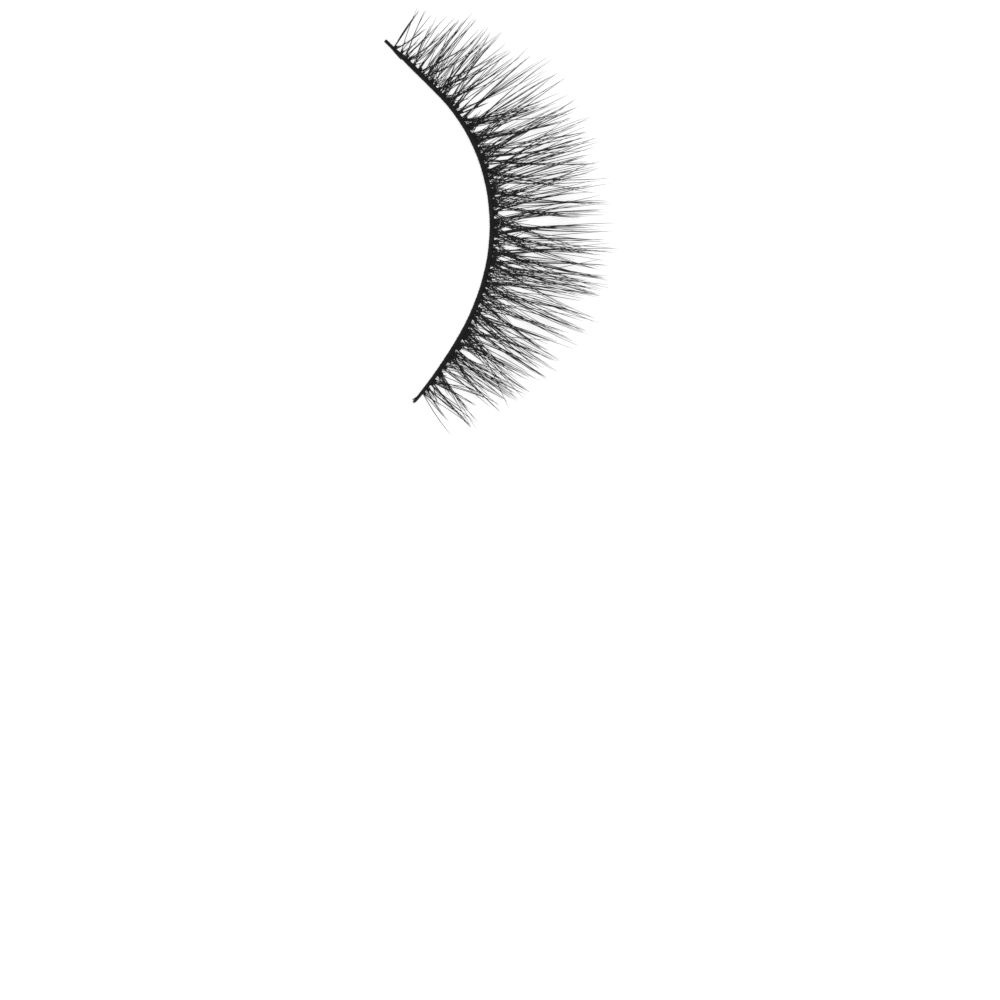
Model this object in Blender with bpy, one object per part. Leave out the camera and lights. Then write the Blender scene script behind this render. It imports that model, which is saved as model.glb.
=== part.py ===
"""False eyelash strip, lying on a table with its lashes curling up.

Every shape is laid out from the eyelid line, which is the inner edge of the band:
  along  distance down that line, from the inner corner of the eye to the outer corner
  out    distance square off the line, towards the lash tips
  up     height over the table
The ends of the eyelid line lie on a line along X, with the inner corner at +X, and the
lashes point to -Y. The origin is under the middle of the whole strip, on the table.
"""
import math
from collections import namedtuple

import bmesh
import bpy
import numpy as np
from mathutils import Vector

MM = 0.001

# Band of cotton thread
BAND_LENGTH = 33.2 * MM
BAND_WIDTH = 0.40 * MM
BAND_HEIGHT = 0.40 * MM
BAND_RINGS = 56

# Row of knots, in an under and a top half, that holds the lashes against the band
KNOT_WIDTH = 0.28 * MM
KNOT_CLEARANCE = 0.04 * MM
LAYER_CLEARANCE = 0.06 * MM
LOCK_COVER = 0.015 * MM
KNOT_RINGS = 42

# Lashes, gathered in locks
LONGEST_LASH = 10.3 * MM
LOCK_WIDTH = 0.64 * MM
LOCK_BOW = 0.15

# Curl: the lashes lie flat up to a share of their length, then rise in a parabola
CURL_RISE = 3.6 * MM
CURL_START = 0.30
CURL_POWER = 2.0

# Finishes: base colour and roughness
Finish = namedtuple("Finish", "colour roughness")
COTTON = Finish((0.012, 0.012, 0.014), 0.75)
FIBRE = Finish((0.010, 0.010, 0.012), 0.35)
SHARP_ANGLE = math.radians(50)

# Bends of the eyelid line: share of the band's length, and degrees turned to the right
Arc = namedtuple("Arc", "share turn")
EYELID_ARCS = (
    Arc(0.169, -0.8),
    Arc(0.217, 28.6),
    Arc(0.255, 30.8),
    Arc(0.164, 16.2),
    Arc(0.195, 9.4),
)

# Band sections: share of its length, and shares of its width and height there
BandSection = namedtuple("BandSection", "along width height")
BAND_SECTIONS = (
    BandSection(0.000, 0.42, 0.60),
    BandSection(0.003, 0.60, 0.82),
    BandSection(0.020, 0.62, 0.86),
    BandSection(0.050, 1.00, 1.00),
    BandSection(0.955, 1.00, 1.00),
    BandSection(0.975, 0.62, 0.86),
    BandSection(0.997, 0.58, 0.80),
    BandSection(1.000, 0.40, 0.56),
)

# Stretch of the band that carries knots, in shares of its length
KNOTS_FROM = 0.018
KNOTS_TO = 0.972

# How far the lashes reach: share of the band's length, share of the longest lash
Reach = namedtuple("Reach", "along length")
LASH_LINE = (
    Reach(0.00, 0.37),
    Reach(0.05, 0.46),
    Reach(0.11, 0.64),
    Reach(0.18, 0.72),
    Reach(0.25, 0.82),
    Reach(0.31, 0.88),
    Reach(0.40, 0.93),
    Reach(0.52, 0.97),
    Reach(0.60, 1.00),
    Reach(0.70, 0.90),
    Reach(0.77, 0.79),
    Reach(0.83, 0.67),
    Reach(0.92, 0.53),
    Reach(0.97, 0.44),
    Reach(1.00, 0.32),
)

# Section of a band or knot row: shares of its width and height, the underside flat
BarCorner = namedtuple("BarCorner", "out up")
BAR_PROFILE = (
    BarCorner(0.12, 0.00),
    BarCorner(0.88, 0.00),
    BarCorner(1.00, 0.28),
    BarCorner(1.00, 0.72),
    BarCorner(0.80, 1.00),
    BarCorner(0.20, 1.00),
    BarCorner(0.00, 0.72),
    BarCorner(0.00, 0.28),
)

# Section of a lock: shares of its half width and thickness
LockCorner = namedtuple("LockCorner", "across up")
LOCK_PROFILE = (
    LockCorner(0.0, 0.0),
    LockCorner(-1.0, 0.3),
    LockCorner(-1.0, 0.7),
    LockCorner(0.0, 1.0),
    LockCorner(1.0, 0.7),
    LockCorner(1.0, 0.3),
)

# Lock sections from root to tip: share of its length, and shares of its width and thickness
LockSection = namedtuple("LockSection", "length width thickness")
LOCK_SECTIONS = (
    LockSection(0.00, 0.78, 1.00),
    LockSection(0.12, 0.94, 1.00),
    LockSection(0.28, 1.00, 0.94),
    LockSection(0.44, 0.88, 0.84),
    LockSection(0.60, 0.68, 0.70),
    LockSection(0.76, 0.46, 0.54),
    LockSection(0.90, 0.24, 0.38),
)

# Locks: root and tip down the band, reach of the tip, and width, as shares of
# BAND_LENGTH, BAND_LENGTH, LONGEST_LASH and LOCK_WIDTH
Lock = namedtuple("Lock", "root tip reach width")

# Under layer, whose locks lean to the outer corner
UNDER_LOCKS = (
    Lock(0.030, 0.045, 0.30, 0.6),
    Lock(0.060, 0.060, 0.49, 0.7),
    Lock(0.078, 0.088, 0.52, 0.7),
    Lock(0.105, 0.145, 0.44, 0.8),
    Lock(0.130, 0.170, 0.54, 1.0),
    Lock(0.170, 0.210, 0.65, 1.1),
    Lock(0.200, 0.225, 0.71, 1.1),
    Lock(0.235, 0.255, 0.78, 0.9),
    Lock(0.260, 0.310, 0.66, 0.8),
    Lock(0.285, 0.320, 0.75, 1.1),
    Lock(0.315, 0.355, 0.83, 1.0),
    Lock(0.340, 0.380, 0.84, 1.0),
    Lock(0.365, 0.400, 0.92, 1.1),
    Lock(0.388, 0.430, 0.88, 1.2),
    Lock(0.415, 0.457, 0.91, 1.1),
    Lock(0.445, 0.492, 0.93, 1.1),
    Lock(0.472, 0.514, 0.92, 1.0),
    Lock(0.500, 0.532, 0.92, 0.9),
    Lock(0.522, 0.568, 0.90, 1.1),
    Lock(0.550, 0.595, 0.89, 1.1),
    Lock(0.580, 0.606, 1.00, 1.1),
    Lock(0.606, 0.632, 0.93, 1.2),
    Lock(0.635, 0.675, 0.92, 1.1),
    Lock(0.660, 0.696, 0.89, 1.2),
    Lock(0.682, 0.720, 0.86, 1.0),
    Lock(0.702, 0.755, 0.78, 1.1),
    Lock(0.730, 0.774, 0.80, 1.1),
    Lock(0.760, 0.794, 0.75, 1.1),
    Lock(0.810, 0.832, 0.68, 1.1),
    Lock(0.840, 0.856, 0.62, 1.2),
    Lock(0.865, 0.900, 0.55, 1.2),
    Lock(0.900, 0.942, 0.46, 1.0),
    Lock(0.930, 0.962, 0.46, 0.9),
    Lock(0.957, 0.981, 0.30, 0.7),
)

# Top layer, whose locks lean to the inner corner
TOP_LOCKS = (
    Lock(0.027, 0.003, 0.35, 0.9),
    Lock(0.052, 0.010, 0.40, 0.8),
    Lock(0.085, 0.040, 0.44, 0.8),
    Lock(0.100, 0.089, 0.50, 0.8),
    Lock(0.118, 0.099, 0.67, 0.9),
    Lock(0.136, 0.115, 0.64, 0.9),
    Lock(0.160, 0.149, 0.57, 0.9),
    Lock(0.176, 0.164, 0.63, 0.8),
    Lock(0.194, 0.177, 0.71, 1.0),
    Lock(0.222, 0.200, 0.55, 0.7),
    Lock(0.250, 0.236, 0.78, 1.1),
    Lock(0.276, 0.256, 0.86, 1.0),
    Lock(0.300, 0.282, 0.88, 0.9),
    Lock(0.322, 0.293, 0.89, 0.9),
    Lock(0.350, 0.328, 0.87, 1.1),
    Lock(0.370, 0.341, 0.90, 0.9),
    Lock(0.388, 0.363, 0.90, 1.0),
    Lock(0.412, 0.389, 0.94, 1.1),
    Lock(0.435, 0.415, 0.80, 0.8),
    Lock(0.458, 0.438, 0.91, 1.1),
    Lock(0.480, 0.458, 0.94, 1.1),
    Lock(0.520, 0.504, 0.91, 1.2),
    Lock(0.545, 0.524, 0.97, 1.2),
    Lock(0.570, 0.547, 0.98, 1.1),
    Lock(0.590, 0.565, 0.98, 1.0),
    Lock(0.607, 0.585, 0.93, 0.9),
    Lock(0.625, 0.604, 0.93, 1.0),
    Lock(0.648, 0.620, 0.94, 1.1),
    Lock(0.673, 0.635, 0.92, 1.0),
    Lock(0.700, 0.670, 0.90, 1.1),
    Lock(0.724, 0.709, 0.79, 0.9),
    Lock(0.746, 0.726, 0.82, 1.1),
    Lock(0.777, 0.760, 0.75, 1.1),
    Lock(0.805, 0.784, 0.64, 0.9),
    Lock(0.823, 0.803, 0.67, 1.0),
    Lock(0.858, 0.841, 0.65, 1.2),
    Lock(0.885, 0.870, 0.57, 1.0),
    Lock(0.914, 0.886, 0.51, 1.0),
    Lock(0.936, 0.920, 0.39, 0.8),
    Lock(0.957, 0.950, 0.47, 0.9),
)

# Sizes that follow from those above
KNOT_INNER = BAND_WIDTH + KNOT_CLEARANCE
LAYER_HEIGHT = (BAND_HEIGHT - LAYER_CLEARANCE) / 2
LOCK_THICKNESS = LAYER_HEIGHT - 2 * LOCK_COVER
LOCK_ROOT = KNOT_INNER + KNOT_WIDTH / 2
TOTAL_TURN = math.radians(sum(arc.turn for arc in EYELID_ARCS))


def clear_scene():
    """Start from an empty scene."""
    for old in list(bpy.data.objects):
        bpy.data.objects.remove(old)


def follow_arcs(along):
    """Place and heading at a distance down the eyelid line, which starts off along +X."""
    place = Vector((0.0, 0.0))
    heading = 0.0
    left = along
    for arc in EYELID_ARCS:
        length = arc.share * BAND_LENGTH
        step = min(left, length)
        turn = math.radians(arc.turn) * step / length
        chord = step * float(np.sinc(turn / math.tau))
        middle = heading - turn / 2
        place += chord * Vector((math.cos(middle), math.sin(middle)))
        heading -= turn
        left -= step
    return place, heading


def turn_to_frame():
    """Angle that lays the chord of the eyelid line along X, with the outer corner at -X."""
    end, _ = follow_arcs(BAND_LENGTH)
    return math.pi - math.atan2(end.y, end.x)


FRAME_TURN = turn_to_frame()


def on_lid(along, out, up):
    """Point in space for a place on the eyelid line's own chart."""
    place, heading = follow_arcs(along)
    side = heading + math.pi / 2
    flat = place + out * Vector((math.cos(side), math.sin(side)))
    x = flat.x * math.cos(FRAME_TURN) - flat.y * math.sin(FRAME_TURN)
    y = flat.x * math.sin(FRAME_TURN) + flat.y * math.cos(FRAME_TURN)
    return Vector((x, y, up))


def table_value(rows, along, column):
    """Value of one column of a table of sections at a distance down the band."""
    places = [row.along for row in rows]
    values = [getattr(row, column) for row in rows]
    return float(np.interp(along / BAND_LENGTH, places, values))


def curl(along, out):
    """Height that the curl gives to a lash at a place on the chart."""
    share = table_value(LASH_LINE, along, "length")
    lifted = max(out / (share * LONGEST_LASH) - CURL_START, 0.0) / (1 - CURL_START)
    return CURL_RISE * share * lifted ** CURL_POWER


def skin_rings(bm, rings, tip=None):
    """Close a body round a row of rings, ending in a flat cap or in a point."""
    loops = [[bm.verts.new(point) for point in ring] for ring in rings]
    for near, far in zip(loops, loops[1:]):
        for i, corner in enumerate(near):
            j = (i + 1) % len(near)
            bm.faces.new((corner, near[j], far[j], far[i]))
    bm.faces.new(reversed(loops[0]))
    last = loops[-1]
    if tip is None:
        bm.faces.new(last)
        return
    point = bm.verts.new(tip)
    for i, corner in enumerate(last):
        bm.faces.new((corner, last[(i + 1) % len(last)], point))


def bar_ring(along, inner, width, low, height):
    """Section of the band or of a knot row, square across the eyelid line."""
    return [on_lid(along, inner + corner.out * width, low + corner.up * height)
            for corner in BAR_PROFILE]


def lock_point(lock, layer_low, share, across, lift):
    """Point of a lock: share of its length, distance across it, height over its underside."""
    tip_out = lock.reach * LONGEST_LASH
    out = LOCK_ROOT + share * (tip_out - LOCK_ROOT)
    bend = TOTAL_TURN * tip_out / BAND_LENGTH + LOCK_BOW
    swept = share * (1 + bend) / (1 + bend * share)
    spread = 1 + TOTAL_TURN * out / BAND_LENGTH
    along = (lock.root + swept * (lock.tip - lock.root)) * BAND_LENGTH + across / spread
    return on_lid(along, out, layer_low + LOCK_COVER + curl(along, out) + lift)


def lock_ring(lock, layer_low, section):
    """Section of a lock at one share of its length."""
    half_width = section.width * lock.width * LOCK_WIDTH / 2
    thickness = section.thickness * LOCK_THICKNESS
    return [lock_point(lock, layer_low, section.length, corner.across * half_width,
                       corner.up * thickness)
            for corner in LOCK_PROFILE]


def finish_mesh(name, bm, material):
    """Make an object of a mesh, with its faces pointing out and its round sides smooth."""
    bmesh.ops.recalc_face_normals(bm, faces=bm.faces)
    mesh = bpy.data.meshes.new(name)
    bm.to_mesh(mesh)
    bm.free()
    mesh.shade_smooth()
    mesh.set_sharp_from_angle(angle=SHARP_ANGLE)
    mesh.materials.append(material)
    piece = bpy.data.objects.new(name, mesh)
    bpy.context.scene.collection.objects.link(piece)
    return piece


def make_material(name, finish):
    """Plain Principled material of one piece."""
    material = bpy.data.materials.new(name)
    material.use_nodes = True
    shader = material.node_tree.nodes["Principled BSDF"]
    shader.inputs["Base Color"].default_value = (*finish.colour, 1.0)
    shader.inputs["Roughness"].default_value = finish.roughness
    shader.inputs["Metallic"].default_value = 0.0
    return material


def spread_rings(first, last, count):
    """Evenly spaced distances down the band, between two shares of its length."""
    return [float(share) * BAND_LENGTH for share in np.linspace(first, last, count)]


def make_band():
    """Band of cotton thread, with a narrow bare stub at each end."""
    ends = [row.along * BAND_LENGTH for row in BAND_SECTIONS]
    wide = [row.along for row in BAND_SECTIONS if row.width == 1.0]
    between = spread_rings(wide[0], wide[-1], BAND_RINGS)
    places = sorted(set(ends) | set(between[1:-1]))
    bm = bmesh.new()
    skin_rings(bm, [
        bar_ring(along, 0.0, BAND_WIDTH * table_value(BAND_SECTIONS, along, "width"),
                 0.0, BAND_HEIGHT * table_value(BAND_SECTIONS, along, "height"))
        for along in places
    ])
    return finish_mesh("band", bm, make_material("cotton", COTTON))


def make_layer(name, locks, layer_low, material):
    """One layer of lashes: its locks, fused to its half of the row of knots."""
    bm = bmesh.new()
    for lock in locks:
        rings = [lock_ring(lock, layer_low, section) for section in LOCK_SECTIONS]
        skin_rings(bm, rings, tip=lock_point(lock, layer_low, 1.0, 0.0, 0.0))
    loose_locks = finish_mesh(name + "_locks", bm, material)
    loose_locks.hide_render = True
    loose_locks.display_type = "WIRE"

    bm = bmesh.new()
    skin_rings(bm, [bar_ring(along, KNOT_INNER, KNOT_WIDTH, layer_low, LAYER_HEIGHT)
                    for along in spread_rings(KNOTS_FROM, KNOTS_TO, KNOT_RINGS)])
    layer = finish_mesh(name, bm, material)
    fuse = layer.modifiers.new("fuse_locks", "BOOLEAN")
    fuse.operation = "UNION"
    fuse.solver = "EXACT"
    fuse.use_self = True
    fuse.object = loose_locks
    return layer, loose_locks


def centre_on_table(pieces):
    """Hang the pieces on an empty that puts the origin under the middle of the strip."""
    bpy.context.view_layer.update()
    corners = [Vector(corner) for piece in pieces for corner in piece.bound_box]
    middle_x = (min(c.x for c in corners) + max(c.x for c in corners)) / 2
    middle_y = (min(c.y for c in corners) + max(c.y for c in corners)) / 2
    strip = bpy.data.objects.new("strip", None)
    strip.location = (-middle_x, -middle_y, 0.0)
    bpy.context.scene.collection.objects.link(strip)
    for piece in pieces:
        piece.parent = strip


def main():
    """Build the band and both layers of lashes."""
    clear_scene()
    fibre = make_material("fibre", FIBRE)
    pieces = [make_band()]
    pieces.extend(make_layer("under_lashes", UNDER_LOCKS, 0.0, fibre))
    pieces.extend(make_layer("top_lashes", TOP_LOCKS, LAYER_HEIGHT + LAYER_CLEARANCE, fibre))
    centre_on_table(pieces)


main()
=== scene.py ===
"""Looks of a false eyelash strip that lies on a pale table with its lashes curling up.

Every shape is laid out from the eyelid line, which is the inner edge of the band:
  along  distance down that line, from the inner corner of the eye to the outer corner
  out    distance square off the line, towards the lash tips
  up     height over the table
"""
import math
from collections import namedtuple

import bpy
import numpy as np
from mathutils import Matrix, Vector


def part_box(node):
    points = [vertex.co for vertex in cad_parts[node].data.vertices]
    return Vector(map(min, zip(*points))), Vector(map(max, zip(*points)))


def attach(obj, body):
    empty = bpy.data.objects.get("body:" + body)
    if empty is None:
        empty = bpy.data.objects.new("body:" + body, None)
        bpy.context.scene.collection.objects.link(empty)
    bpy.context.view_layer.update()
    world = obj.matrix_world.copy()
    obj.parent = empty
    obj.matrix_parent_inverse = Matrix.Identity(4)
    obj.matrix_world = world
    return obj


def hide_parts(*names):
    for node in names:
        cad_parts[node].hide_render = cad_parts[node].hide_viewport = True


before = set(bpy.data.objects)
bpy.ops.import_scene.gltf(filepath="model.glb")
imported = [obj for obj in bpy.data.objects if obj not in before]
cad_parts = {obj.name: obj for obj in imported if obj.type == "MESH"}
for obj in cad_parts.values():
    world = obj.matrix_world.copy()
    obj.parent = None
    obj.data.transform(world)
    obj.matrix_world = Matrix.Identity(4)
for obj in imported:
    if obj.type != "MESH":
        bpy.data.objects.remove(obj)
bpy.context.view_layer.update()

MM = 0.001
rng = np.random.default_rng(41)

# Sizes of the strip
BAND_LENGTH = 33.2 * MM
BAND_WIDTH = 0.40 * MM
BAND_HEIGHT = 0.40 * MM
LONGEST_LASH = 10.3 * MM
LOCK_WIDTH = 0.64 * MM
CURL_RISE = 3.6 * MM
CURL_START = 0.30
CURL_POWER = 2.0
LOCK_BOW = 0.15

# Thread of the band: plies twisted together, a little uneven along it
PLIES = 3
PLY_PITCH = 0.95 * MM
PLY_DEPTH = 0.13
PLY_SWELL = 1.05
BAND_ROUNDNESS = 0.8
BAND_WAVE = 0.02
LONG_WAVE = 0.41 * MM
SHORT_WAVE = 0.13 * MM
SHORT_WAVE_LAG = 1.7
BAND_SETBACK = 0.032 * MM
BAND_RING_STEP = 0.032 * MM
BAND_SIDES = 36

# Knots that hold the fibres, a little uneven in place and size
FIRST_KNOT = 0.80 * MM
LAST_KNOT = 32.05 * MM
KNOT_COUNT = 68
KNOT_STRAY = 0.45
KNOT_START = 0.80
KNOT_LENGTH = 0.35 * MM
KNOT_LENGTH_SPREAD = (0.8, 1.35)
KNOT_HALF_WIDTH = 0.16 * MM
KNOT_SIZE_SPREAD = (0.72, 1.20)
KNOT_NOSE = 0.06
KNOT_BLUNTNESS = 0.45
KNOT_TURNS = 3
KNOT_RIDGE = 0.09
KNOT_LIFT = 0.46
KNOT_MIDDLE = 1.02
KNOT_FLATNESS = 1.1
KNOT_FLOOR = 0.004 * MM
KNOT_GRAIN = 3.0
KNOT_RINGS = 18
KNOT_SIDES = 16

# Loops of fine thread from the knots over the band: part of a half turn, how far they lie
# outside the band, and their slant in millimetres, pivoted a little way along
LOOP_RADIUS = 0.020 * MM
LOOP_SPAN = (-0.10, 1.06)
LOOP_CLEARANCE = 1.03
LOOP_ROUNDNESS = 0.7
LOOP_SLANT = (0.10, 0.22)
LOOP_PIVOT = 0.2
LOOP_STATIONS = 22
LOOP_SIDES = 6

# Fibres: thickness, roots, number and spread in their locks, bow, curl, and loose ones
ROOT_RADIUS = 0.028 * MM
TIP_RADIUS = 0.005 * MM
ROOT_START = 0.70
ROOT_STRAY = 0.12 * MM
FIBRE_STATIONS = 18
FIBRE_SIDES = 6
FIBRES_PER_LOCK = 4.6
FEWEST_PER_LOCK = 3
FIRST_TUFT_EXTRA = 2
LOCK_SPREAD = 1.6
SPREAD_POWER = 2
STRAND_POWER = 1.5
COMBED = 0.5
LONGEST_END = 1.05
END_SHORTFALL = 0.32
END_POWER = 1.8
TIP_STRAY = 0.08 * MM
FIBRE_BOW = 0.022
BOW_STRAY = 0.012
CURL_SPREAD = (0.86, 1.08)
CURL_FROM_PLACE = 0.6
UNDER_ROOTS = (0.05 * MM, BAND_HEIGHT / 2 - 0.03 * MM)
TOP_ROOTS = (BAND_HEIGHT / 2 + 0.01 * MM, BAND_HEIGHT - 0.05 * MM)
ROOT_SETTLE = 0.6
TIP_RISE_STRAY = 0.16 * MM
TABLE_CLEARANCE = 1.05
THICKNESS_SPREAD = (0.80, 1.12)
FILL_PER_KNOT = 7.6
FILL_REACH = (0.11, 0.46)
FILL_LEAN = (0.15, 0.60)
WILD_FIBRES = 215
WILD_REACH = (0.60, 0.99)
WILD_LEAN = 0.27
TRIES = 12
GAP_STATIONS = 40

# Second thread at the ends of the band: height, and how it swells from its blunt tips
TIE_HEIGHT = 0.07 * MM
TIE_BLUNTNESS = 0.6
TIE_GROWTH = 8
TIE_STATIONS = 26
TIE_SIDES = 12
TIE_TONES = np.array((0.3, 0.6))

# Cotton filaments at the cut ends of the band: lengths in millimetres
FILAMENT_ROOT_RADIUS = 0.009
FILAMENT_THINNING = 0.005
FILAMENT_SPREAD = 0.35
FILAMENT_POWER = 1.5
FILAMENT_OUT = (0.02, 0.20)
FILAMENT_UP = (0.06, 0.22)
FILAMENT_FLOOR = 0.01
FILAMENT_STATIONS = 8
FILAMENT_SIDES = 5

# Blacks: how shiny each is, and its colours along a tone from 0 to 1
FIBRE_SHINE = 0.25
FIBRE_TONES = (
    (0.0, (0.0030, 0.0030, 0.0036)),
    (0.7, (0.0075, 0.0072, 0.0072)),
    (1.0, (0.0180, 0.0162, 0.0150)),
)
FIBRE_TIP_COLOUR = (0.020, 0.018, 0.017, 1.0)
COTTON_SHINE = 0.14
COTTON_TONES = (
    (0.30, (0.0028, 0.0028, 0.0034)),
    (0.72, (0.0110, 0.0106, 0.0112)),
)

# Relief of the cotton: slant of its filaments round the thread, and their height beside the fuzz
COTTON_SLANT = math.radians(62)
COTTON_RELIEF = 0.7

# Studio: a white table that glows softly from within, white surroundings and two soft lamps
WHITE = (1.0, 1.0, 1.0, 1.0)
TABLE_TONES = (
    (0.3, (0.36, 0.36, 0.36)),
    (0.7, (0.38, 0.38, 0.38)),
)
TABLE_GLOW = 0.66
TABLE_HALF = 0.8
TABLE_DROP = 0.01 * MM
WORLD_STRENGTH = 1.0
Lamp = namedtuple("Lamp", "name place size power")
LAMPS = (
    Lamp("key", (0.20, -0.30, 0.60), 0.45, 1.1),
    Lamp("back", (-0.25, 0.35, 0.35), 0.30, 0.35),
)

# Photograph: where the ends of the eyelid line lie in it, in pixels from its top left
IMAGE_SIDE = 1000
INNER_END_PIXEL = Vector((386.0, 43.0))
OUTER_END_PIXEL = Vector((412.4, 402.4))
LENS = 400.0
SENSOR = 36.0
NEAREST_SEEN = 0.01
FARTHEST_SEEN = 10.0

# Sockets of Blender's colour Mix node, which share their names with other ones
MIX_FACTOR, MIX_FIRST, MIX_SECOND, MIX_RESULT = 0, 6, 7, 2

# Bends of the eyelid line: share of the band's length, and degrees turned to the right
Arc = namedtuple("Arc", "share turn")
EYELID_ARCS = (
    Arc(0.169, -0.8),
    Arc(0.217, 28.6),
    Arc(0.255, 30.8),
    Arc(0.164, 16.2),
    Arc(0.195, 9.4),
)
TOTAL_TURN = math.radians(sum(arc.turn for arc in EYELID_ARCS))

# Band sections: share of its length, and shares of its width and height there
BandSection = namedtuple("BandSection", "along width height")
BAND_SECTIONS = (
    BandSection(-0.006, 0.56, 0.72),
    BandSection(-0.004, 0.64, 0.82),
    BandSection(0.028, 0.68, 0.86),
    BandSection(0.052, 1.00, 1.00),
    BandSection(0.880, 1.00, 1.00),
    BandSection(0.930, 0.82, 0.96),
    BandSection(0.972, 0.66, 0.86),
    BandSection(0.994, 0.60, 0.80),
    BandSection(0.998, 0.40, 0.50),
)

# How far the lashes reach: share of the band's length, share of the longest lash
Reach = namedtuple("Reach", "along length")
LASH_LINE = (
    Reach(0.00, 0.37),
    Reach(0.05, 0.46),
    Reach(0.11, 0.64),
    Reach(0.18, 0.72),
    Reach(0.25, 0.82),
    Reach(0.31, 0.88),
    Reach(0.40, 0.93),
    Reach(0.52, 0.97),
    Reach(0.60, 1.00),
    Reach(0.70, 0.90),
    Reach(0.77, 0.79),
    Reach(0.83, 0.67),
    Reach(0.92, 0.53),
    Reach(0.97, 0.44),
    Reach(1.00, 0.32),
)

# How densely the fibres are tied: share of the band's length, and times the usual number
Fullness = namedtuple("Fullness", "along density")
FULLNESS = (
    Fullness(0.00, 0.40),
    Fullness(0.08, 0.50),
    Fullness(0.18, 0.82),
    Fullness(0.30, 1.00),
    Fullness(0.45, 1.06),
    Fullness(0.58, 1.06),
    Fullness(0.70, 0.98),
    Fullness(0.84, 1.08),
    Fullness(0.92, 0.66),
    Fullness(1.00, 0.42),
)

# How far the thin fibre tips of the locks pass their solids: share of the band's length,
# and times the lock's own reach
Stretch = namedtuple("Stretch", "along times")
TIP_STRETCH = (
    Stretch(0.00, 1.03),
    Stretch(0.20, 0.98),
    Stretch(0.32, 0.98),
    Stretch(0.60, 1.00),
    Stretch(0.80, 1.02),
    Stretch(1.00, 1.08),
)

# Spread of the fibre tips of a lock: share of its length, share of its width
Taper = namedtuple("Taper", "length width")
LOCK_TAPER = (
    Taper(0.00, 1.00),
    Taper(0.40, 0.90),
    Taper(0.60, 0.74),
    Taper(0.90, 0.44),
    Taper(1.00, 0.26),
)

# Fibre thickness: share of its length, share of the way from tip to root radius
FIBRE_TAPER = (
    Taper(0.00, 1.00),
    Taper(0.55, 0.95),
    Taper(0.75, 0.80),
    Taper(0.88, 0.58),
    Taper(0.96, 0.30),
    Taper(1.00, 0.00),
)

# Second thread at each end of the band, in millimetres: where it starts and stops down the
# band, its radius, how far out it starts, how far it falls off inwards and how late
TieEnd = namedtuple("TieEnd", "start stop radius out fall power")
TIE_ENDS = (
    TieEnd(0.75, 1.80, 0.058, 0.03, 0.08, 0.5),
    TieEnd(30.90, 33.04, 0.045, 0.06, 0.21, 6.0),
)

# Cut ends of the band, in millimetres: place, direction down the band, filaments that stand
# out of it, and their shortest and longest length
CutEnd = namedtuple("CutEnd", "place direction filaments shortest longest")
CUT_ENDS = (
    CutEnd(-0.08, -1.0, 9, 0.05, 0.10),
    CutEnd(33.06, 1.0, 11, 0.08, 0.20),
)

# Locks: root and tip down the band, reach of the tip, and width, as shares of
# BAND_LENGTH, BAND_LENGTH, LONGEST_LASH and LOCK_WIDTH
Lock = namedtuple("Lock", "root tip reach width")

# Under layer, whose locks lean to the outer corner
UNDER_LOCKS = (
    Lock(0.030, 0.045, 0.30, 0.6),
    Lock(0.060, 0.060, 0.49, 0.7),
    Lock(0.078, 0.088, 0.52, 0.7),
    Lock(0.105, 0.145, 0.44, 0.8),
    Lock(0.130, 0.170, 0.54, 1.0),
    Lock(0.170, 0.210, 0.65, 1.1),
    Lock(0.200, 0.225, 0.71, 1.1),
    Lock(0.235, 0.255, 0.78, 0.9),
    Lock(0.260, 0.310, 0.66, 0.8),
    Lock(0.285, 0.320, 0.75, 1.1),
    Lock(0.315, 0.355, 0.83, 1.0),
    Lock(0.340, 0.380, 0.84, 1.0),
    Lock(0.365, 0.400, 0.92, 1.1),
    Lock(0.388, 0.430, 0.88, 1.2),
    Lock(0.415, 0.457, 0.91, 1.1),
    Lock(0.445, 0.492, 0.93, 1.1),
    Lock(0.472, 0.514, 0.92, 1.0),
    Lock(0.500, 0.532, 0.92, 0.9),
    Lock(0.522, 0.568, 0.90, 1.1),
    Lock(0.550, 0.595, 0.89, 1.1),
    Lock(0.580, 0.606, 1.00, 1.1),
    Lock(0.606, 0.632, 0.93, 1.2),
    Lock(0.635, 0.675, 0.92, 1.1),
    Lock(0.660, 0.696, 0.89, 1.2),
    Lock(0.682, 0.720, 0.86, 1.0),
    Lock(0.702, 0.755, 0.78, 1.1),
    Lock(0.730, 0.774, 0.80, 1.1),
    Lock(0.760, 0.794, 0.75, 1.1),
    Lock(0.810, 0.832, 0.68, 1.1),
    Lock(0.840, 0.856, 0.62, 1.2),
    Lock(0.865, 0.900, 0.55, 1.2),
    Lock(0.900, 0.942, 0.46, 1.0),
    Lock(0.930, 0.962, 0.46, 0.9),
    Lock(0.957, 0.981, 0.30, 0.7),
)

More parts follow.
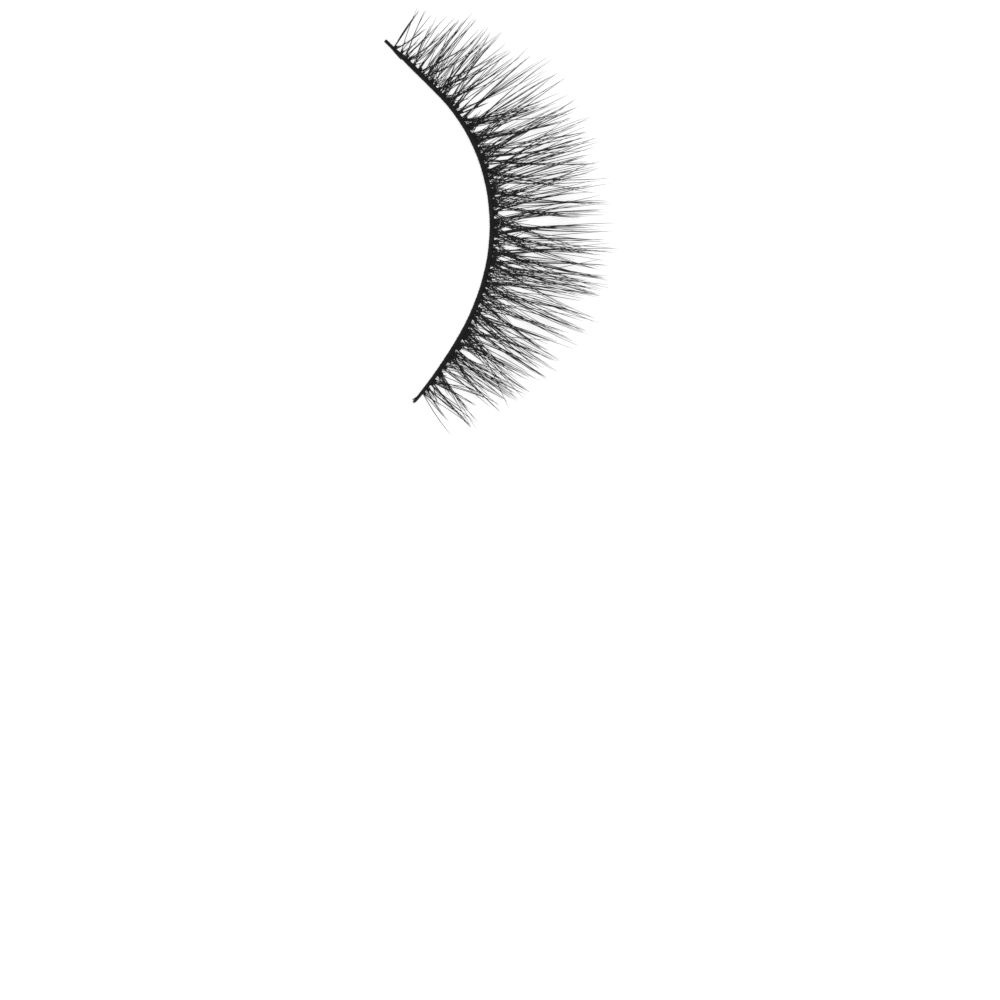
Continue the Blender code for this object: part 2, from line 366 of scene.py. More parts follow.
# Top layer, whose locks lean to the inner corner
TOP_LOCKS = (
    Lock(0.027, 0.003, 0.35, 0.9),
    Lock(0.052, 0.010, 0.40, 0.8),
    Lock(0.085, 0.040, 0.44, 0.8),
    Lock(0.100, 0.089, 0.50, 0.8),
    Lock(0.118, 0.099, 0.67, 0.9),
    Lock(0.136, 0.115, 0.64, 0.9),
    Lock(0.160, 0.149, 0.57, 0.9),
    Lock(0.176, 0.164, 0.63, 0.8),
    Lock(0.194, 0.177, 0.71, 1.0),
    Lock(0.222, 0.200, 0.55, 0.7),
    Lock(0.250, 0.236, 0.78, 1.1),
    Lock(0.276, 0.256, 0.86, 1.0),
    Lock(0.300, 0.282, 0.88, 0.9),
    Lock(0.322, 0.293, 0.89, 0.9),
    Lock(0.350, 0.328, 0.87, 1.1),
    Lock(0.370, 0.341, 0.90, 0.9),
    Lock(0.388, 0.363, 0.90, 1.0),
    Lock(0.412, 0.389, 0.94, 1.1),
    Lock(0.435, 0.415, 0.80, 0.8),
    Lock(0.458, 0.438, 0.91, 1.1),
    Lock(0.480, 0.458, 0.94, 1.1),
    Lock(0.520, 0.504, 0.91, 1.2),
    Lock(0.545, 0.524, 0.97, 1.2),
    Lock(0.570, 0.547, 0.98, 1.1),
    Lock(0.590, 0.565, 0.98, 1.0),
    Lock(0.607, 0.585, 0.93, 0.9),
    Lock(0.625, 0.604, 0.93, 1.0),
    Lock(0.648, 0.620, 0.94, 1.1),
    Lock(0.673, 0.635, 0.92, 1.0),
    Lock(0.700, 0.670, 0.90, 1.1),
    Lock(0.724, 0.709, 0.79, 0.9),
    Lock(0.746, 0.726, 0.82, 1.1),
    Lock(0.777, 0.760, 0.75, 1.1),
    Lock(0.805, 0.784, 0.64, 0.9),
    Lock(0.823, 0.803, 0.67, 1.0),
    Lock(0.858, 0.841, 0.65, 1.2),
    Lock(0.885, 0.870, 0.57, 1.0),
    Lock(0.914, 0.886, 0.51, 1.0),
    Lock(0.936, 0.920, 0.39, 0.8),
    Lock(0.957, 0.950, 0.47, 0.9),
)

# Clear gaps between the tufts, in millimetres: middle along and out, half sizes along and out
Gap = namedtuple("Gap", "along out half_along half_out")
GAPS = (
    Gap(3.04, 1.20, 0.15, 0.30), Gap(3.56, 0.72, 0.10, 0.22), Gap(3.96, 0.72, 0.09, 0.22),
    Gap(5.00, 1.28, 0.09, 0.32), Gap(6.44, 1.04, 0.15, 0.36), Gap(7.12, 1.28, 0.10, 0.48),
    Gap(7.72, 1.12, 0.10, 0.56), Gap(8.00, 3.20, 0.08, 1.50), Gap(8.16, 1.36, 0.08, 0.48),
    Gap(8.68, 1.52, 0.12, 0.64), Gap(8.96, 3.04, 0.15, 1.05), Gap(9.90, 1.36, 0.16, 0.52),
    Gap(10.56, 3.60, 0.10, 1.00), Gap(11.06, 2.00, 0.09, 0.90), Gap(11.72, 5.00, 0.12, 2.00),
    Gap(12.14, 3.80, 0.10, 0.64), Gap(12.30, 1.60, 0.07, 0.40), Gap(12.53, 2.50, 0.08, 0.64),
    Gap(12.86, 0.96, 0.15, 0.44), Gap(13.33, 2.30, 0.08, 0.64), Gap(13.78, 3.60, 0.11, 0.96),
    Gap(14.64, 2.40, 0.18, 0.80), Gap(15.44, 4.56, 0.10, 0.48), Gap(16.50, 1.76, 0.18, 0.96),
    Gap(16.12, 3.36, 0.10, 0.88), Gap(17.06, 4.64, 0.10, 1.30), Gap(17.36, 4.64, 0.12, 1.20),
    Gap(17.70, 1.60, 0.13, 0.60), Gap(18.16, 3.20, 0.07, 0.40), Gap(19.00, 2.24, 0.14, 0.80),
    Gap(19.46, 4.16, 0.07, 0.90), Gap(19.90, 1.60, 0.13, 0.56), Gap(20.50, 1.60, 0.07, 0.40),
    Gap(21.00, 4.00, 0.07, 0.56), Gap(21.72, 4.00, 0.10, 1.10), Gap(21.96, 2.90, 0.09, 0.96),
    Gap(22.92, 3.04, 0.08, 1.10), Gap(23.33, 4.30, 0.16, 1.44), Gap(23.80, 5.76, 0.14, 1.60),
    Gap(24.32, 1.60, 0.09, 0.48), Gap(24.66, 4.00, 0.10, 0.80), Gap(25.36, 1.76, 0.07, 0.56),
    Gap(26.10, 2.64, 0.16, 0.96), Gap(26.30, 4.64, 0.10, 1.44), Gap(27.60, 1.60, 0.18, 1.04),
    Gap(28.66, 2.56, 0.09, 0.48), Gap(29.30, 1.60, 0.10, 0.40), Gap(29.74, 1.36, 0.12, 0.64),
    Gap(30.06, 1.28, 0.10, 0.40), Gap(30.96, 1.12, 0.14, 0.32), Gap(31.44, 1.28, 0.09, 0.36),
)


def follow_arcs(along):
    """Places and headings at distances down the eyelid line, which starts off along +X."""
    before = np.minimum(along, 0.0)
    left = along - before
    x = before.copy()
    y = np.zeros(along.shape)
    heading = np.zeros(along.shape)
    for arc in EYELID_ARCS:
        length = arc.share * BAND_LENGTH
        step = np.minimum(left, length)
        turn = math.radians(arc.turn) * step / length
        chord = step * np.sinc(turn / math.tau)
        x = x + chord * np.cos(heading - turn / 2)
        y = y + chord * np.sin(heading - turn / 2)
        heading = heading - turn
        left = left - step
    return x + left * np.cos(heading), y + left * np.sin(heading), heading


END_X, END_Y, _ = (float(value) for value in follow_arcs(np.array(BAND_LENGTH)))
FRAME_TURN = math.pi - math.atan2(END_Y, END_X)
CHORD = math.hypot(END_X, END_Y)
BAND_LOW, BAND_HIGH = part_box("band")
INNER_END = Vector(((BAND_LOW[0] + BAND_HIGH[0] + CHORD) / 2, BAND_HIGH[1]))


def on_lid(along, out, up):
    """Points in space for places on the eyelid line's own chart."""
    along, out, up = np.broadcast_arrays(*(np.asarray(v, float) for v in (along, out, up)))
    x, y, heading = follow_arcs(along)
    x = x - out * np.sin(heading)
    y = y + out * np.cos(heading)
    cos, sin = math.cos(FRAME_TURN), math.sin(FRAME_TURN)
    return np.stack((INNER_END.x + x * cos - y * sin, INNER_END.y + x * sin + y * cos, up), -1)


def table_value(rows, places, column, key="along"):
    """Values of one column of a table at places down its key column."""
    keys = [getattr(row, key) for row in rows]
    return np.interp(places, keys, [getattr(row, column) for row in rows])


def columns(rows):
    """Columns of a table as arrays, in its own order."""
    return [np.array(values) for values in zip(*rows)]


def signed_power(values, power):
    """Powers of the sizes of values, with the values' own signs."""
    return np.sign(values) * np.abs(values) ** power


def ring_angles(sides):
    """Angles of the points round a tube."""
    return np.arange(sides) * math.tau / sides


def fan_out(out):
    """How many times wider the chart is at a distance out than on the eyelid line."""
    return 1 + TOTAL_TURN * out / BAND_LENGTH


def swept_share(share, tip_out):
    """How much of its way along a bowed lash has gone, at a share of its way out."""
    bend = TOTAL_TURN * tip_out / BAND_LENGTH + LOCK_BOW
    return share * (1 + bend) / (1 + bend * share)


def local_reach(along):
    """How far the lashes reach at places down the band."""
    return LONGEST_LASH * table_value(LASH_LINE, along / BAND_LENGTH, "length")


def fullness(along):
    """How densely the fibres are tied at places down the band."""
    return table_value(FULLNESS, along / BAND_LENGTH, "density")


def band_size(along):
    """Width and height of the band at places down its length."""
    share = along / BAND_LENGTH
    return (BAND_WIDTH * table_value(BAND_SECTIONS, share, "width"),
            BAND_HEIGHT * table_value(BAND_SECTIONS, share, "height"))


def join_mesh(name, points, faces, uvs=None, shades=None):
    """Object of one mesh, smooth shaded, with its texture places and point values."""
    mesh = bpy.data.meshes.new(name)
    mesh.from_pydata(points.reshape(-1, 3).tolist(), [], faces)
    mesh.shade_smooth()
    if uvs is not None:
        layer = mesh.uv_layers.new(name="surface")
        corners = np.empty(len(mesh.loops), dtype=np.int32)
        mesh.loops.foreach_get("vertex_index", corners)
        layer.data.foreach_set("uv", uvs.reshape(-1, 2)[corners].astype(np.float32).ravel())
    for label, values in (shades or {}).items():
        mesh.attributes.new(label, "FLOAT", "POINT").data.foreach_set(
            "value", values.astype(np.float32).ravel())
    mesh.validate()
    piece = bpy.data.objects.new(name, mesh)
    bpy.context.scene.collection.objects.link(piece)
    return piece


def grid_faces(bodies, rings, sides):
    """Faces of closed tubes whose points are ordered body, ring, side."""
    faces = []
    for body in range(bodies):
        first = body * rings * sides
        for ring in range(rings - 1):
            low = first + ring * sides
            for side in range(sides):
                following = (side + 1) % sides
                faces.append((low + side, low + following,
                              low + sides + following, low + sides + side))
        faces.append(tuple(range(first + sides - 1, first - 1, -1)))
        last = first + (rings - 1) * sides
        faces.append(tuple(range(last, last + sides)))
    return faces


def tubes(name, paths, radii, sides, tones):
    """Round tapered tubes along paths, joined in one mesh."""
    bodies, rings = paths.shape[:2]
    tangents = np.gradient(paths, axis=1)
    tangents /= np.linalg.norm(tangents, axis=-1, keepdims=True)
    across = np.cross(tangents, np.array((0.0, 0.0, 1.0)))
    across /= np.linalg.norm(across, axis=-1, keepdims=True)
    over = np.cross(across, tangents)
    turn = ring_angles(sides)[:, None]
    spokes = np.cos(turn) * across[:, :, None] + np.sin(turn) * over[:, :, None]
    points = paths[:, :, None] + radii[:, :, None, None] * spokes
    steps = np.linalg.norm(np.diff(paths, axis=1), axis=-1)
    lengths = np.concatenate((np.zeros((bodies, 1)), np.cumsum(steps, axis=1)), axis=1)
    shape = (bodies, rings, sides)
    shades = {
        "tone": np.broadcast_to(tones[:, None, None], shape),
        "share": np.broadcast_to((lengths / lengths[:, -1:])[:, :, None], shape),
    }
    round_share = np.abs(np.arange(sides) / sides - 0.5)
    uvs = np.stack(np.broadcast_arrays(round_share + shades["tone"], lengths[:, :, None] / MM), -1)
    return join_mesh(name, points, grid_faces(bodies, rings, sides), uvs, shades)


def set_on_strip(piece, material, node=None):
    """Give a piece its material, let it ride on the strip and stand for a solid of the frame."""
    piece.data.materials.append(material)
    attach(piece, "root")
    if node:
        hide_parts(node)


def knot_places():
    """Distances down the band of the knots, unevenly spaced."""
    spacing = rng.uniform(1 - KNOT_STRAY, 1 + KNOT_STRAY, KNOT_COUNT - 1)
    shares = np.concatenate(((0.0,), np.cumsum(spacing) / spacing.sum()))
    return FIRST_KNOT + (LAST_KNOT - FIRST_KNOT) * shares


KNOTS = knot_places()


def snap_to_knots(along):
    """Fibres leave from the knots: move roots to the nearest knot, with a little spread."""
    nearest = np.abs(along[..., None] - KNOTS).argmin(axis=-1)
    return KNOTS[nearest] + rng.normal(0.0, ROOT_STRAY, along.shape) * fullness(along)


def chart_path(fibres, share):
    """Places on the chart along each fibre."""
    swept = swept_share(share, fibres["tip_out"])
    along = fibres["root"] + swept * (fibres["tip"] - fibres["root"])
    root_out = ROOT_START * band_size(fibres["root"])[0]
    out = root_out + share * (fibres["tip_out"] - root_out)
    return along, out


def gap_score(fibres):
    """How many points of each fibre fall in the clear gaps between the tufts."""
    share = np.linspace(0.0, 1.0, GAP_STATIONS)[:, None, None]
    along, out = chart_path(fibres, share)
    score = np.zeros(along.shape[1:])
    for gap in GAPS:
        reach_along = (along / MM - gap.along) / gap.half_along
        reach_out = (out / MM - gap.out) / gap.half_out
        score += (reach_along ** 2 + reach_out ** 2 < 1).sum(axis=0)
    return score


def best_of(tries):
    """Of several tries at each fibre, keep the one that leaves the gaps most clear."""
    choice = gap_score(tries).argmin(axis=0)
    pick = np.arange(choice.size)
    return {name: values[choice, pick] for name, values in tries.items()}


def fibres_in(lock):
    """How many fibres a lock gets, by its width and the fullness where it is tied."""
    full = float(fullness(lock.root * BAND_LENGTH))
    return max(FEWEST_PER_LOCK, round(FIBRES_PER_LOCK * lock.width * full))


def lock_fibres(locks, first_extra=0):
    """Fibres of the locks: the same path as their lock, spread over its width."""
    counts = [fibres_in(lock) for lock in locks]
    counts[0] += first_extra
    rows = [lock for lock, count in zip(locks, counts) for _ in range(count)]
    root, tip, reach, width = columns(rows)
    shape = (TRIES, len(rows))
    half = LOCK_SPREAD * width * LOCK_WIDTH / 2 * fullness(root * BAND_LENGTH) ** SPREAD_POWER
    tip_out = reach * LONGEST_LASH * table_value(TIP_STRETCH, root, "times")
    longest = rng.uniform(1.0, LONGEST_END, shape)
    ends = longest - END_SHORTFALL * rng.uniform(0, 1, shape) ** END_POWER
    taper = table_value(LOCK_TAPER, ends, "width", "length")
    across = signed_power(rng.uniform(-1, 1, shape), STRAND_POWER)
    fanned = COMBED * across + (1 - COMBED) * rng.uniform(-1, 1, shape)
    start = root * BAND_LENGTH + across * half
    end = (root + swept_share(ends, tip_out) * (tip - root)) * BAND_LENGTH
    end = end + (fanned * half * taper + rng.normal(0, TIP_STRAY, shape)) / fan_out(tip_out)
    return best_of({"root": snap_to_knots(start), "tip": end, "tip_out": tip_out * ends})


def fill_fibres():
    """Short fibres that fan both ways from each knot and cross their neighbours."""
    roots = np.repeat(KNOTS, np.round(FILL_PER_KNOT * fullness(KNOTS)).astype(int))
    shape = (TRIES, roots.size)
    reach = local_reach(roots) * rng.uniform(*FILL_REACH, shape)
    lean = rng.choice((-1.0, 1.0), shape) * rng.uniform(*FILL_LEAN, shape)
    tip = roots + lean * reach / fan_out(reach)
    return best_of({
        "root": roots + rng.normal(0.0, ROOT_STRAY, shape),
        "tip": np.clip(tip, FIRST_KNOT, LAST_KNOT),
        "tip_out": reach,
    })


def wild_fibres():
    """Single fibres that stray between the locks."""
    roots = rng.uniform(KNOTS[0], KNOTS[-1], WILD_FIBRES)
    roots = roots[rng.uniform(0.0, 1.0, WILD_FIBRES) < fullness(roots)]
    shape = (TRIES, roots.size)
    reach = local_reach(roots) * rng.uniform(*WILD_REACH, shape)
    lean = rng.normal(0.0, WILD_LEAN, shape)
    return best_of({
        "root": snap_to_knots(np.broadcast_to(roots, shape)),
        "tip": roots + lean * reach / fan_out(reach),
        "tip_out": reach,
    })


def merge(*groups):
    """One set of fibres from several."""
    return {name: np.concatenate([group[name] for group in groups]) for name in groups[0]}


def take(fibres, chosen):
    """Some of a set of fibres."""
    return {name: values[chosen] for name, values in fibres.items()}


def bowed_lines(fibres, root_out, share):
    """Line of each fibre over the table, from its root to its tip and slightly bowed."""
    start = on_lid(fibres["root"], root_out, 0.0)[:, None]
    end = on_lid(fibres["tip"], fibres["tip_out"], 0.0)[:, None]
    line = end - start
    side = np.stack((-line[..., 1], line[..., 0], np.zeros(line.shape[:2])), -1)
    lean = np.sign(fibres["tip"] - fibres["root"])
    bow = rng.normal(0.0, BOW_STRAY, lean.size) - FIBRE_BOW * lean
    bowed = 4 * share * (1 - share) * bow[:, None]
    return start + share[:, None] * line + bowed[..., None] * side


def curled_heights(fibres, along, out, share, root_heights):
    """Height of each fibre over the table, as it settles from its root and then curls up."""
    count = fibres["root"].size
    own_reach = fibres["tip_out"][:, None]
    reach = CURL_FROM_PLACE * local_reach(along) + (1 - CURL_FROM_PLACE) * own_reach
    lifted = np.maximum(out / reach - CURL_START, 0.0) / (1 - CURL_START)
    curl = CURL_RISE * reach / LONGEST_LASH * lifted ** CURL_POWER
    curl *= rng.uniform(*CURL_SPREAD, count)[:, None]
    root_up = rng.uniform(*root_heights, count)[:, None]
    drift = rng.normal(0.0, TIP_RISE_STRAY, count)[:, None]
    return root_up * (1 - ROOT_SETTLE * share) + curl + drift * share ** 2


def make_fibres(name, node, fibres, root_heights, material):
    """Curled tapered fibres of one layer, which stand for the layer's solid locks."""
    count = fibres["root"].size
    share = np.linspace(0.0, 1.0, FIBRE_STATIONS)
    along, out = chart_path({label: values[:, None] for label, values in fibres.items()}, share)
    paths = bowed_lines(fibres, out[:, 0], share)
    up = curled_heights(fibres, along, out, share, root_heights)
    thickness = table_value(FIBRE_TAPER, share, "width", "length")
    radii = TIP_RADIUS + (ROOT_RADIUS - TIP_RADIUS) * thickness
    radii = radii * rng.uniform(*THICKNESS_SPREAD, count)[:, None]
    paths[..., 2] = np.maximum(up, radii * TABLE_CLEARANCE)
    piece = tubes(name, paths, radii, FIBRE_SIDES, rng.uniform(0, 1, count))
    set_on_strip(piece, material, node)


def make_band(material):
    """Band of plied cotton thread, flat where it lies on the table."""
    rings = round(BAND_LENGTH / BAND_RING_STEP)
    along = np.linspace(BAND_SECTIONS[0].along, BAND_SECTIONS[-1].along, rings)[:, None] * BAND_LENGTH
    turn = ring_angles(BAND_SIDES)[None]
    width, height = band_size(along)
    twist = PLIES * (turn - math.tau * along / PLY_PITCH) / 2
    long_wave = BAND_WAVE * np.sin(along / LONG_WAVE)
    short_wave = BAND_WAVE * np.sin(along / SHORT_WAVE + SHORT_WAVE_LAG)
    groove = PLY_SWELL - PLY_DEPTH * (1 - np.abs(np.sin(twist))) ** 2 + (long_wave + short_wave)
    round_out = signed_power(np.cos(turn), BAND_ROUNDNESS)
    round_up = signed_power(np.sin(turn), BAND_ROUNDNESS)
    out = width / 2 * (1 + groove * round_out) - BAND_SETBACK
    up = np.maximum(height / 2 * (1 + groove * round_up), 0.0)
    points = on_lid(np.broadcast_to(along, out.shape), out, up)
    uvs = np.stack(np.broadcast_arrays(turn / math.tau, along / MM), -1)
    piece = join_mesh("band_thread", points, grid_faces(1, rings, BAND_SIDES), uvs)
    set_on_strip(piece, material, "band")


def make_knots(material):
    """Wound knots that hold the tufts against the band."""
    share = np.linspace(0.0, 1.0, KNOT_RINGS)[None, :, None]
    turn = ring_angles(KNOT_SIDES)[None, None]
    place = KNOTS[:, None, None]
    plump = np.sqrt(fullness(place))
    size = rng.uniform(*KNOT_SIZE_SPREAD, place.shape) * plump
    length = KNOT_LENGTH * plump * rng.uniform(*KNOT_LENGTH_SPREAD, place.shape)
    width, height = band_size(place)
    bulge = np.sin(math.pi * (KNOT_NOSE + (1 - 2 * KNOT_NOSE) * share)) ** KNOT_BLUNTNESS
    wound = 1 + KNOT_RIDGE * np.cos(math.tau * KNOT_TURNS * share + turn)
    radius = bulge * wound * size
    along = place + KNOT_HALF_WIDTH * radius * np.cos(turn)
    out = np.broadcast_to(KNOT_START * width + length * share, radius.shape)
    up = KNOT_LIFT * height * (KNOT_MIDDLE + radius / KNOT_FLATNESS * np.sin(turn))
    points = on_lid(along, out, np.maximum(up, KNOT_FLOOR))
    uvs = np.stack(np.broadcast_arrays(turn / math.tau, KNOT_GRAIN * share + size), -1)
    piece = join_mesh("knots", points, grid_faces(KNOTS.size, KNOT_RINGS, KNOT_SIDES), uvs)
    set_on_strip(piece, material)


def make_loops(material):
    """Fine thread of each knot, passed over the band and back."""
    share = np.linspace(*LOOP_SPAN, LOOP_STATIONS)[None]
    angle = math.pi * share
    width, height = band_size(KNOTS[:, None])
    out = width / 2 * (1 + LOOP_CLEARANCE * signed_power(np.cos(angle), LOOP_ROUNDNESS))
    up = height / 2 * (1 + LOOP_CLEARANCE * np.sin(angle))
    slant = rng.uniform(*LOOP_SLANT, KNOTS.size)[:, None] * MM
    along = KNOTS[:, None] + slant * (share - LOOP_PIVOT)
    paths = on_lid(along, out, np.maximum(up, LOOP_RADIUS))
    radii = np.full(paths.shape[:2], LOOP_RADIUS)
    piece = tubes("knot_loops", paths, radii, LOOP_SIDES, rng.uniform(0, 1, KNOTS.size))
    set_on_strip(piece, material)


def make_tie_thread(material):
    """Second thread that runs under the inner edge of the band and shows at its two ends."""
    share = np.linspace(0.0, 1.0, TIE_STATIONS)
    start, stop, radius, out, fall, power = (values[:, None] for values in columns(TIE_ENDS))
    along = start + (stop - start) * share
    paths = on_lid(along * MM, (out - fall * share ** power) * MM, TIE_HEIGHT)
    swelling = TIE_BLUNTNESS + TIE_GROWTH * np.minimum(share, 1 - share)
    radii = radius * MM * np.minimum(1, swelling)
    piece = tubes("tie_thread", paths, radii, TIE_SIDES, TIE_TONES)
    set_on_strip(piece, material)


def make_frayed_ends(material):
    """Cotton filaments that stand out of the cut ends of the band."""
    rows = [end for end in CUT_ENDS for _ in range(end.filaments)]
    place, direction, _, shortest, longest = (values[:, None] for values in columns(rows))
    share = np.linspace(0.0, 1.0, FILAMENT_STATIONS)
    length = rng.uniform(shortest, longest)
    strays = rng.normal(0.0, FILAMENT_SPREAD, (2, *place.shape))
    spread = strays * length * share ** FILAMENT_POWER
    along = place + direction * length * share
    out = rng.uniform(*FILAMENT_OUT, place.shape) + spread[0]
    up = rng.uniform(*FILAMENT_UP, place.shape) + spread[1]
    paths = on_lid(along * MM, out * MM, np.maximum(up, FILAMENT_FLOOR) * MM)
    radii = (FILAMENT_ROOT_RADIUS - FILAMENT_THINNING * share) * MM
    radii = np.broadcast_to(radii, paths.shape[:2])
    piece = tubes("frayed_ends", paths, radii, FILAMENT_SIDES, rng.uniform(0, 1, len(rows)))
    set_on_strip(piece, material)


def new_material(name):
    """Material with its node tree and its Principled shader."""
    material = bpy.data.materials.new(name)
    material.use_nodes = True
    tree = material.node_tree
    return material, tree, tree.nodes["Principled BSDF"]


def add_node(tree, kind, settings=None, **inputs):
    """Node of one kind, with its settings, and its sockets set or linked by name."""
    node = tree.nodes.new(kind)
    for label, value in (settings or {}).items():
        setattr(node, label, value)
    for label, value in inputs.items():
        socket = node.inputs[label.replace("_", " ")]
        if isinstance(value, bpy.types.NodeSocket):
            tree.links.new(value, socket)
        else:
            socket.default_value = value
    return node


def set_ramp(ramp, stops):
    """Give a ramp node its colour stops, each a place and a colour."""
    elements = ramp.color_ramp.elements
    while len(elements) < len(stops):
        elements.new(0.5)
    for element, (place, colour) in zip(elements, stops):
        element.position = place
        element.color = (*colour, 1.0)


def fibre_material():
    """Black drawn synthetic fibre: each a little different in tone, with fine lengthwise streaks."""
    material, tree, shader = new_material("lash_fibre")
    tone = add_node(tree, "ShaderNodeAttribute", {"attribute_name": "tone"})
    share = add_node(tree, "ShaderNodeAttribute", {"attribute_name": "share"})
    body = add_node(tree, "ShaderNodeValToRGB", Fac=tone.outputs["Fac"])
    set_ramp(body, FIBRE_TONES)
    fade = add_node(tree, "ShaderNodeMapRange", From_Min=0.55, From_Max=1.0, To_Min=0.0, To_Max=0.55,
                    Value=share.outputs["Fac"])
    tinted = add_node(tree, "ShaderNodeMix", {"data_type": "RGBA"})
    tree.links.new(fade.outputs["Result"], tinted.inputs[MIX_FACTOR])
    tree.links.new(body.outputs["Color"], tinted.inputs[MIX_FIRST])
    tinted.inputs[MIX_SECOND].default_value = FIBRE_TIP_COLOUR
    tree.links.new(tinted.outputs[MIX_RESULT], shader.inputs["Base Color"])
    surface = add_node(tree, "ShaderNodeUVMap", {"uv_map": "surface"})
    stretched = add_node(tree, "ShaderNodeMapping", Vector=surface.outputs["UV"], Scale=(46.0, 1.6, 1.0))
    streaks = add_node(tree, "ShaderNodeTexNoise", Vector=stretched.outputs["Vector"], Scale=1.0,
                       Detail=3.0, Roughness=0.6)
    rough = add_node(tree, "ShaderNodeMapRange", Value=streaks.outputs["Fac"], From_Min=0.3,
                     From_Max=0.7, To_Min=0.34, To_Max=0.52)
    tree.links.new(rough.outputs["Result"], shader.inputs["Roughness"])
    bump = add_node(tree, "ShaderNodeBump", Height=streaks.outputs["Fac"], Strength=0.25,
                    Distance=0.003 * MM)
    tree.links.new(bump.outputs["Normal"], shader.inputs["Normal"])
    shader.inputs["Specular IOR Level"].default_value = FIBRE_SHINE
    return material


def cotton_material():
    """Black waxed cotton: matt, with fine filaments that run round the thread and a soft fuzz."""
    material, tree, shader = new_material("waxed_cotton")
    surface = add_node(tree, "ShaderNodeUVMap", {"uv_map": "surface"})
    slanted = add_node(tree, "ShaderNodeMapping", Vector=surface.outputs["UV"],
                       Rotation=(0.0, 0.0, COTTON_SLANT), Scale=(9.0, 7.0, 1.0))
    filaments = add_node(tree, "ShaderNodeTexWave", {"bands_direction": "X"},
                         Vector=slanted.outputs["Vector"], Scale=2.4, Distortion=2.2, Detail=2.0,
                         Detail_Scale=2.5)
    place = add_node(tree, "ShaderNodeTexCoord")
    fuzz = add_node(tree, "ShaderNodeTexNoise", Vector=place.outputs["Object"], Scale=22.0 / MM,
                    Detail=4.0, Roughness=0.65)
    wax = add_node(tree, "ShaderNodeTexNoise", Vector=place.outputs["Object"], Scale=2.2 / MM,
                   Detail=3.0)
    height = add_node(tree, "ShaderNodeMath", {"operation": "MULTIPLY_ADD"})
    tree.links.new(filaments.outputs["Fac"], height.inputs[0])
    height.inputs[1].default_value = COTTON_RELIEF
    tree.links.new(fuzz.outputs["Fac"], height.inputs[2])
    bump = add_node(tree, "ShaderNodeBump", Height=height.outputs["Value"], Strength=0.55,
                    Distance=0.012 * MM)
    tree.links.new(bump.outputs["Normal"], shader.inputs["Normal"])
    tone = add_node(tree, "ShaderNodeValToRGB", Fac=fuzz.outputs["Fac"])
    set_ramp(tone, COTTON_TONES)
    tree.links.new(tone.outputs["Color"], shader.inputs["Base Color"])
    rough = add_node(tree, "ShaderNodeMapRange", Value=wax.outputs["Fac"], From_Min=0.35,
                     From_Max=0.65, To_Min=0.58, To_Max=0.88)
    tree.links.new(rough.outputs["Result"], shader.inputs["Roughness"])
    shader.inputs["Specular IOR Level"].default_value = COTTON_SHINE
    shader.inputs["Sheen Weight"].default_value = 0.02
    shader.inputs["Sheen Roughness"].default_value = 0.5
    return material


def table_material():
    """Pale matt table top with a very fine grain, which glows a little from within."""
    material, tree, shader = new_material("pale_table")
    place = add_node(tree, "ShaderNodeTexCoord")
    grain = add_node(tree, "ShaderNodeTexNoise", Vector=place.outputs["Object"], Scale=1.4 / MM,
                     Detail=3.0)
    tone = add_node(tree, "ShaderNodeValToRGB", Fac=grain.outputs["Fac"])
    set_ramp(tone, TABLE_TONES)
    tree.links.new(tone.outputs["Color"], shader.inputs["Base Color"])
    bump = add_node(tree, "ShaderNodeBump", Height=grain.outputs["Fac"], Strength=0.05,
                    Distance=0.02 * MM)
    tree.links.new(bump.outputs["Normal"], shader.inputs["Normal"])
    shader.inputs["Emission Color"].default_value = WHITE
    shader.inputs["Emission Strength"].default_value = TABLE_GLOW
    shader.inputs["Roughness"].default_value = 0.75
    shader.inputs["Specular IOR Level"].default_value = 0.15
    return material


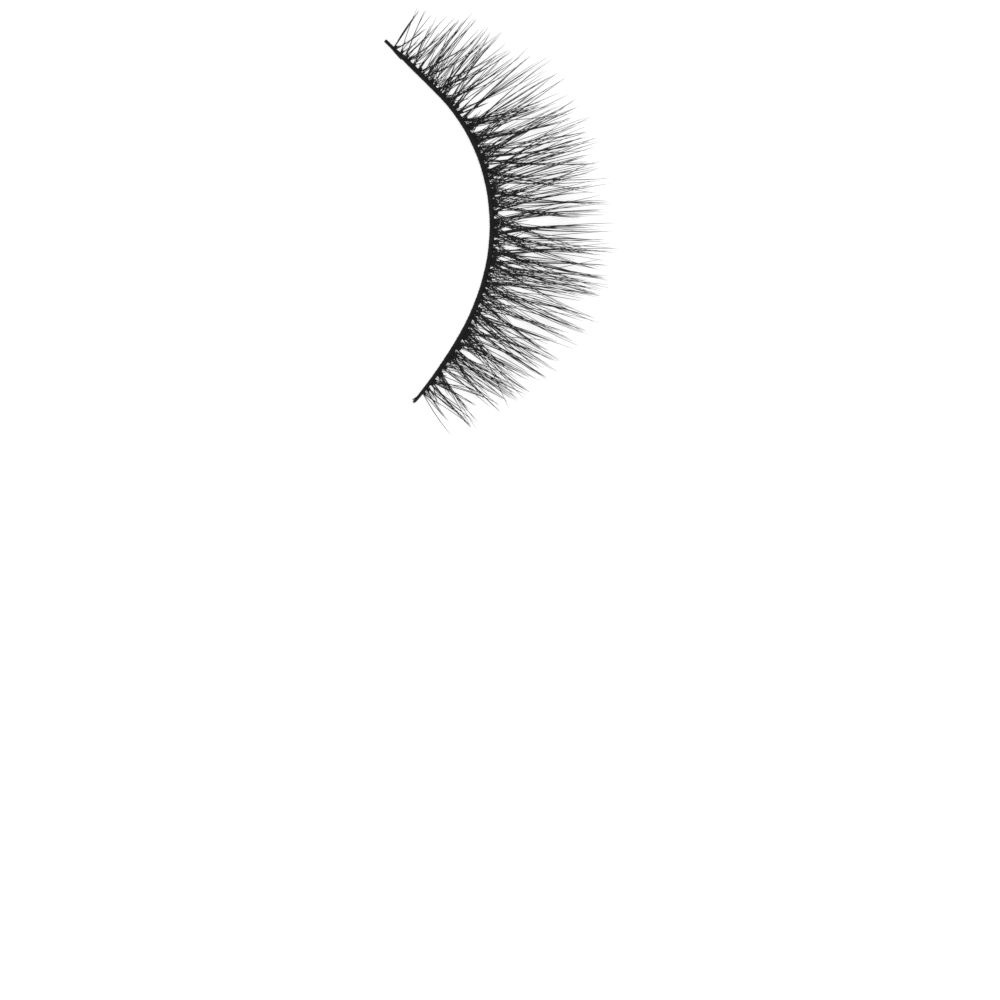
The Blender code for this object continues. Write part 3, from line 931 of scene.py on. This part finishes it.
def make_camera():
    """Camera straight over the table, with the strip where the photograph has it."""
    span = OUTER_END_PIXEL - INNER_END_PIXEL
    metres_per_pixel = CHORD / span.length
    roll = math.atan2(span.x, span.y)
    right = Vector((-math.sin(roll), -math.cos(roll), 0.0))
    top = Vector((math.cos(roll), -math.sin(roll), 0.0))
    middle = Vector((IMAGE_SIDE / 2, IMAGE_SIDE / 2)) - INNER_END_PIXEL
    centre = INNER_END.to_3d() + metres_per_pixel * (middle.x * right - middle.y * top)
    height = IMAGE_SIDE * metres_per_pixel * LENS / SENSOR
    data = bpy.data.cameras.new("camera")
    data.lens = LENS
    data.sensor_width = SENSOR
    data.clip_start = NEAREST_SEEN
    data.clip_end = FARTHEST_SEEN
    camera = bpy.data.objects.new("camera", data)
    turn = Matrix((right, top, Vector((0.0, 0.0, 1.0)))).transposed()
    camera.matrix_world = Matrix.Translation(centre + Vector((0.0, 0.0, height))) @ turn.to_4x4()
    bpy.context.scene.collection.objects.link(camera)
    bpy.context.scene.camera = camera


def make_table():
    """Plain pale table that the strip lies on."""
    corners = TABLE_HALF * np.array(((-1, -1, 0), (1, -1, 0), (1, 1, 0), (-1, 1, 0)))
    table = join_mesh("table", corners - np.array((0, 0, TABLE_DROP)), [(0, 1, 2, 3)])
    table.data.materials.append(table_material())


def make_light(name, place, size, power):
    """Soft square lamp that faces the strip."""
    data = bpy.data.lights.new(name, "AREA")
    data.size = size
    data.energy = power
    lamp = bpy.data.objects.new(name, data)
    lamp.location = place
    lamp.rotation_euler = (-Vector(place)).to_track_quat("-Z", "Y").to_euler()
    bpy.context.scene.collection.objects.link(lamp)


def make_studio():
    """Even white surroundings with one soft key lamp and a weaker one behind."""
    world = bpy.data.worlds.new("studio")
    world.use_nodes = True
    background = world.node_tree.nodes["Background"]
    background.inputs["Color"].default_value = WHITE
    background.inputs["Strength"].default_value = WORLD_STRENGTH
    bpy.context.scene.world = world
    for lamp in LAMPS:
        make_light(*lamp)
    bpy.context.scene.view_settings.view_transform = "Standard"


def main():
    """Dress the frame, light it and look at it as the photograph does."""
    make_camera()
    make_table()
    make_studio()
    fibre = fibre_material()
    cotton = cotton_material()
    make_band(cotton)
    make_knots(cotton)
    make_loops(cotton)
    make_tie_thread(cotton)
    make_frayed_ends(cotton)
    loose = merge(fill_fibres(), wild_fibres())
    leans_in = loose["tip"] < loose["root"]
    under = merge(lock_fibres(UNDER_LOCKS), take(loose, ~leans_in))
    make_fibres("under_fibres", "under_lashes", under, UNDER_ROOTS, fibre)
    top = merge(lock_fibres(TOP_LOCKS, FIRST_TUFT_EXTRA), take(loose, leans_in))
    make_fibres("top_fibres", "top_lashes", top, TOP_ROOTS, fibre)


main()
